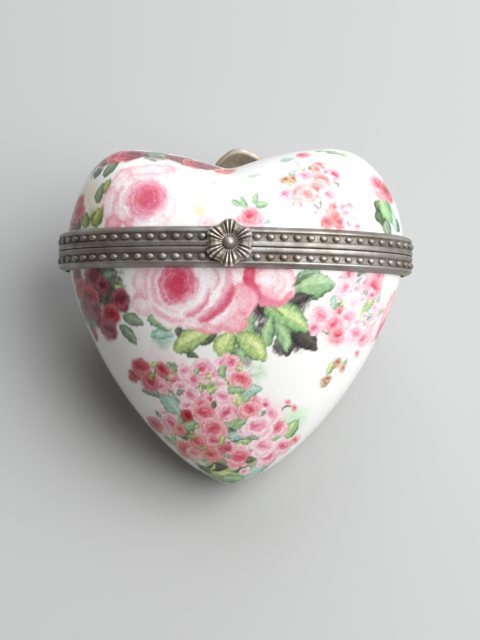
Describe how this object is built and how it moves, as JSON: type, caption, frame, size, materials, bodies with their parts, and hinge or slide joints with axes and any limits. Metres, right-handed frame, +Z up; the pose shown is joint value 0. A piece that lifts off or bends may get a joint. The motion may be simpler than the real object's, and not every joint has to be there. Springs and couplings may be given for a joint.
{
  "type": "hinged heart-shaped trinket box",
  "caption": "Plump heart-shaped porcelain trinket box, hinged at the back, with beaded metal rims and a flower clasp.",
  "frame": {"origin": "under the middle of the whole box, on the surface it lies on", "axes": "+Z up from the surface; the face of the heart leans up towards +Z and its tip points to -Y; +X to the right seen from the front"},
  "size_m": [0.0662, 0.0618, 0.0449],
  "materials": {
    "base_glaze": "glossy white glaze with a printed rose pattern",
    "base_rim_metal": "antiqued grey-brown, worn bright on the beads",
    "hinge_metal": "antiqued grey-brown",
    "pin_metal": "antiqued grey-brown",
    "lid_glaze": "glossy white glaze with a printed rose pattern",
    "lid_rim_metal": "antiqued grey-brown, worn bright on the beads",
    "clasp_metal": "antiqued grey-brown, dark in the grooves",
    "strap_metal": "antiqued brown"
  },
  "bodies": {
    "base": {"base_porcelain": "base_glaze", "base_rim": "base_rim_metal", "hinge_leaf_base": "hinge_metal", "hinge_pin": "pin_metal"},
    "lid": {"lid_porcelain": "lid_glaze", "lid_rim": "lid_rim_metal", "clasp_flower": "clasp_metal", "hinge_leaf_lid": "strap_metal"}
  },
  "joints": [
    {"name": "lid_hinge", "type": "hinge", "parent": "base", "child": "lid", "pos_m": [0, 0.01722, 0.00147], "axis": [-1, 0, 0], "range_deg": [0, 110]}
  ]
}
